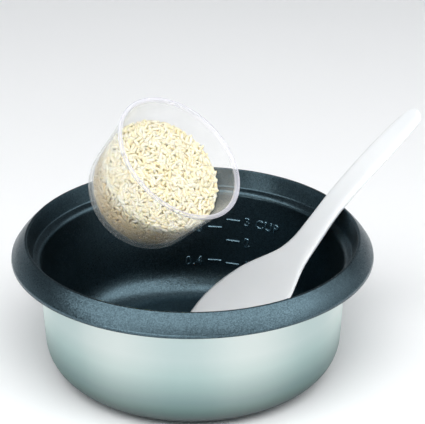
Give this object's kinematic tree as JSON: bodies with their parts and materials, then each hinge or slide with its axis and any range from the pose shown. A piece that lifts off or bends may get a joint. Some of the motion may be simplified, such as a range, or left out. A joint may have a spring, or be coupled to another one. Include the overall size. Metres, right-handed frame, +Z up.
{
  "type": "rice cooker inner pot",
  "caption": "Round inner pot of a small rice cooker with a sloping rim flange and dark non-stick lining, a leaning rice paddle, and a clear measuring cup of rice tipped over it.",
  "frame": {"origin": "centre of the pot's flat base, where it stands on its support", "axes": "+Z up along the pot's axis; -Y is the front, and +X is the side that the paddle leans to"},
  "size_m": [0.2315, 0.2, 0.1549],
  "materials": {
    "pot_metal": "satin",
    "nonstick": "satin, finely speckled",
    "paddle_plastic": "satin",
    "clear_plastic": "gloss",
    "rice": "matte"
  },
  "bodies": {
    "pot": {"pot_bowl": "pot_metal", "nonstick_lining": "nonstick"},
    "paddle": {"rice_paddle": "paddle_plastic"},
    "cup": {"measuring_cup": "clear_plastic", "rice_heap": "rice"}
  },
  "joints": [
    {"name": "paddle_lift", "type": "slide", "parent": "pot", "child": "paddle", "axis": [0.5759, 0.286, 0.7659], "range_m": [0, 0.17]},
    {"name": "cup_lift", "type": "slide", "parent": "pot", "child": "cup", "axis": [0, 0, 1], "range_m": [0, 0.1]}
  ]
}
